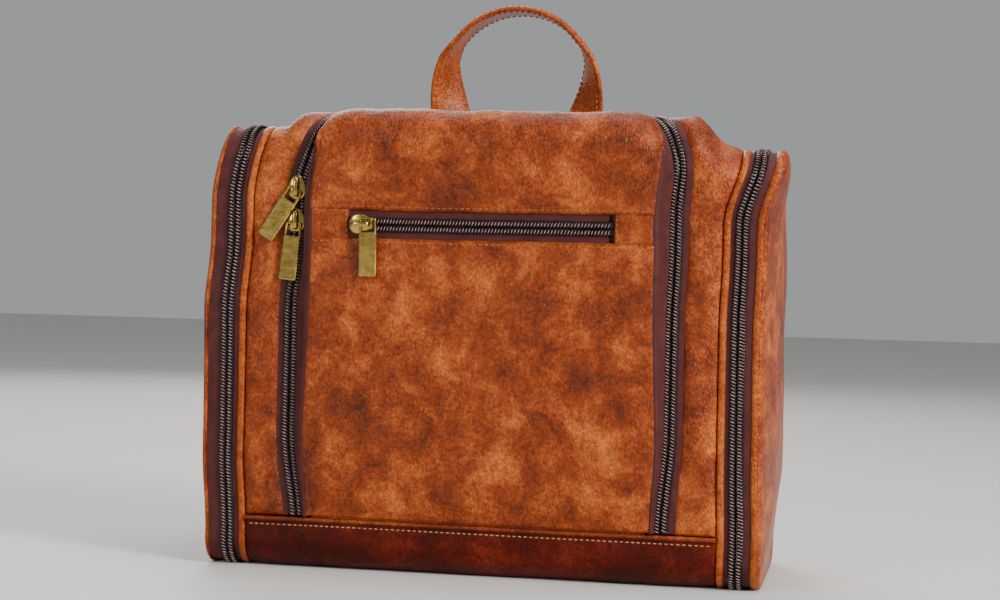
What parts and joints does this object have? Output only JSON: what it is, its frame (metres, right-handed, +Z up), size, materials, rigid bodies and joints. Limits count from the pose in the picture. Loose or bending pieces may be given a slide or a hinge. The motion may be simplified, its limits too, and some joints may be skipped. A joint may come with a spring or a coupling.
{
  "type": "hanging toiletry bag",
  "caption": "Boxy brown leather toiletry bag with a zipped front flap and pocket, zipped side compartments, a strap handle and a fold-out hanging hook.",
  "frame": {"origin": "on the ground under the middle of the bag", "axes": "+X to the bag's right side seen from the front, -Y out of the front flap, +Z up"},
  "size_m": [0.27, 0.1331, 0.2725],
  "materials": {
    "leather": "waxed brown leather, mottled and crazed, satin to glossy",
    "band_leather": "dark reddish-brown waxed leather, satin",
    "strip_leather": "narrow waxed leather strips and straps, glossy folded edges",
    "lining_cloth": "woven polyester lining",
    "mesh_cloth": "knitted mesh with a bound edge",
    "elastic": "woven elastic",
    "zip_tape": "woven zip tape, plum, slight sheen",
    "zip_coil": "spiral nylon coil with light sewing thread",
    "antique_brass": "antique brass, brushed, worn bright on the edges",
    "stiffener": "plain board"
  },
  "bodies": {
    "bag_body": {"back_board": "stiffener", "back_panel": "leather", "base_board": "stiffener", "base_panel": "band_leather", "bottle_band": "elastic", "brush_band_left": "elastic", "brush_band_right": "elastic", "flap_zip_coil_outer": "zip_coil", "flap_zip_tape_outer": "zip_tape", "front_border_left": "leather", "front_border_right": "leather", "handle_anchors": "strip_leather", "hook_anchor": "strip_leather", "main_lining": "lining_cloth", "partition_left": "lining_cloth", "partition_right": "lining_cloth", "seam_strip_left": "strip_leather", "seam_strip_right": "strip_leather", "side_lining_left": "lining_cloth", "side_lining_right": "lining_cloth", "side_zip_coil_left_inner": "zip_coil", "side_zip_coil_right_inner": "zip_coil", "side_zip_tape_left_inner": "zip_tape", "side_zip_tape_right_inner": "zip_tape", "top_panel": "leather"},
    "flap": {"flap_gusset": "zip_tape", "flap_lining": "lining_cloth", "flap_mesh_pocket": "mesh_cloth", "flap_panel_lower": "leather", "flap_panel_upper": "leather", "flap_zip_coil_inner": "zip_coil", "pocket_bag": "lining_cloth", "pocket_tab_left": "leather", "pocket_tab_right": "leather", "pocket_zip_coil": "zip_coil", "pocket_zip_tape": "zip_tape"},
    "left_cap": {"cap_strip_left": "strip_leather", "side_zip_tape_left_outer": "zip_tape", "side_zip_coil_left_outer": "zip_coil", "side_panel_left": "leather", "cap_lining_left": "lining_cloth"},
    "right_cap": {"cap_strip_right": "strip_leather", "side_zip_tape_right_outer": "zip_tape", "side_zip_coil_right_outer": "zip_coil", "side_panel_right": "leather", "cap_lining_right": "lining_cloth"},
    "flap_slider_upper_body": {"flap_slider_upper": "antique_brass"},
    "flap_slider_lower_body": {"flap_slider_lower": "antique_brass"},
    "side_slider_left_body": {"side_slider_left": "antique_brass"},
    "side_slider_right_body": {"side_slider_right": "antique_brass"},
    "pocket_slider_body": {"pocket_slider": "antique_brass"},
    "flap_pull_upper_body": {"flap_pull_upper": "antique_brass"},
    "flap_pull_lower_body": {"flap_pull_lower": "antique_brass"},
    "side_pull_left_body": {"side_pull_left": "antique_brass"},
    "side_pull_right_body": {"side_pull_right": "antique_brass"},
    "pocket_pull_body": {"pocket_pull": "antique_brass"},
    "handle": {"handle_strap": "strip_leather"},
    "hook_strap_body": {"hook_strap": "strip_leather", "hook_ring": "antique_brass"},
    "hook": {"hanging_hook": "antique_brass"}
  },
  "joints": [
    {"name": "flap_hinge", "type": "hinge", "parent": "bag_body", "child": "flap", "pos_m": [0, -0.0536, 0.0244], "axis": [1, 0, 0], "range_deg": [0, 94]},
    {"name": "right_side_opening", "type": "hinge", "parent": "bag_body", "child": "right_cap", "pos_m": [0.1136, 0.059, 0.1], "axis": [0, 0, 1], "range_deg": [0, 90]},
    {"name": "left_side_opening", "type": "hinge", "parent": "bag_body", "child": "left_cap", "pos_m": [-0.1136, 0.059, 0.1], "axis": [0, 0, -1], "range_deg": [0, 90]},
    {"name": "upper_slider_travel", "type": "slide", "parent": "flap", "child": "flap_slider_upper_body", "axis": [0, 0, 1], "range_m": [0, 0.006]},
    {"name": "lower_slider_travel", "type": "slide", "parent": "flap", "child": "flap_slider_lower_body", "axis": [0, 0, -1], "range_m": [0, 0.108]},
    {"name": "pocket_slider_travel", "type": "slide", "parent": "flap", "child": "pocket_slider_body", "axis": [1, 0, 0], "range_m": [0, 0.108]},
    {"name": "left_side_slider_travel", "type": "hinge", "parent": "left_cap", "child": "side_slider_left_body", "pos_m": [-0.1185, 0.039, 0.183], "axis": [1, 0, 0], "range_deg": [0, 55]},
    {"name": "right_side_slider_travel", "type": "hinge", "parent": "right_cap", "child": "side_slider_right_body", "pos_m": [0.1185, 0.039, 0.183], "axis": [1, 0, 0], "range_deg": [0, 55]},
    {"name": "lower_pull_swing", "type": "hinge", "parent": "flap_slider_lower_body", "child": "flap_pull_lower_body", "pos_m": [-0.0887, -0.0545, 0.1608], "axis": [-0.9945, 0, 0.1045], "range_deg": [0, 120]},
    {"name": "upper_pull_swing", "type": "hinge", "parent": "flap_slider_upper_body", "child": "flap_pull_upper_body", "pos_m": [-0.0882, -0.0545, 0.1764], "axis": [-0.8387, 0, 0.5446], "range_deg": [0, 110]},
    {"name": "left_side_pull_swing", "type": "hinge", "parent": "side_slider_left_body", "child": "side_pull_left_body", "pos_m": [-0.1185, 0.06048, 0.18872], "axis": [1, 0, 0], "range_deg": [0, 120]},
    {"name": "right_side_pull_swing", "type": "hinge", "parent": "side_slider_right_body", "child": "side_pull_right_body", "pos_m": [0.1185, 0.06048, 0.18872], "axis": [1, 0, 0], "range_deg": [0, 120]},
    {"name": "pocket_pull_swing", "type": "hinge", "parent": "pocket_slider_body", "child": "pocket_pull_body", "pos_m": [-0.0509, -0.06388, 0.16059], "axis": [0, -0.9984, -0.0557], "range_deg": [-35, 80]},
    {"name": "handle_fold", "type": "hinge", "parent": "bag_body", "child": "handle", "pos_m": [0, 0.028, 0.2052], "axis": [1, 0, 0], "range_deg": [-60, 60]},
    {"name": "hook_strap_fold", "type": "hinge", "parent": "bag_body", "child": "hook_strap_body", "pos_m": [0, 0.0617, 0.182], "axis": [1, 0, 0], "range_deg": [0, 165]},
    {"name": "hook_pivot", "type": "hinge", "parent": "hook_strap_body", "child": "hook", "pos_m": [0, 0.0626, 0.136], "axis": [1, 0, 0], "range_deg": [0, 45]}
  ]
}
